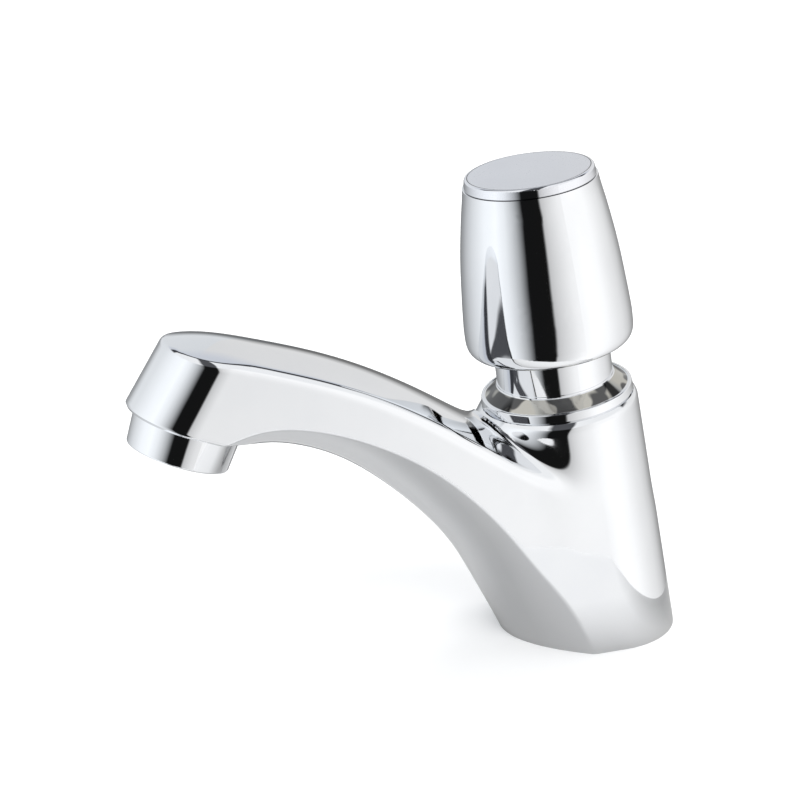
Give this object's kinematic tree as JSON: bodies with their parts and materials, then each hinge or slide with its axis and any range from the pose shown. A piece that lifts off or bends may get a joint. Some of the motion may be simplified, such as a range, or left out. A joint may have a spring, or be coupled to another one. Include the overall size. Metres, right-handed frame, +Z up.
{
  "type": "push timed tap",
  "caption": "Deck-mounted push timed basin tap: leaning pillar with a goose-neck spout, tall push cap on a guide sleeve, screwed outlet ring and threaded shank.",
  "frame": {"origin": "centre of the round foot on the deck, on the axis of the threaded shank", "axes": "+Z up along the shank's axis, -Y along the spout towards the outlet, +X to the right of someone who stands before the spout and faces the tap; the push axis leans 9 degrees from +Z towards -Y"},
  "size_m": [0.0438, 0.1424, 0.1742],
  "materials": {
    "chrome_plate": "polished",
    "satin_chrome": "satin",
    "brass": "machined",
    "stainless": "brushed",
    "seal_rubber": "matt",
    "white_plastic": "moulded",
    "grey_plastic": "moulded"
  },
  "bodies": {
    "tap_body": {"body_casting": "chrome_plate", "bezel_ring": "chrome_plate", "guide_sleeve": "chrome_plate", "mouth_seal": "seal_rubber", "spring_plate": "stainless", "cartridge_housing": "brass", "cartridge_seal_lower": "seal_rubber", "cartridge_seal_upper": "seal_rubber", "valve_seat": "stainless", "spindle_bush": "white_plastic", "gland_seal": "seal_rubber", "aerator_housing": "chrome_plate", "aerator_gasket": "seal_rubber", "outlet_grid": "grey_plastic", "flow_mixer": "white_plastic", "aerator_screen": "stainless", "inlet_shank": "brass", "inlet_filter": "white_plastic", "foot_gasket": "seal_rubber", "clamp_gasket": "seal_rubber", "clamp_washer": "stainless", "back_nut": "brass", "return_spring": "stainless"},
    "push_button": {"push_cap": "chrome_plate", "cap_disc": "satin_chrome", "cap_screw": "stainless", "spindle": "brass", "spring_retainer": "stainless", "timer_piston": "white_plastic", "piston_cup_seal": "seal_rubber", "piston_clip": "stainless", "valve_disc": "brass", "valve_washer": "seal_rubber", "washer_nut": "brass"}
  },
  "joints": [
    {"name": "cap_press", "type": "slide", "parent": "tap_body", "child": "push_button", "axis": [0, 0.1564, -0.9877], "range_m": [0, 0.008], "stiffness_N_per_m": 1500, "springref_m": -0.006, "deforming": ["return_spring"]}
  ]
}
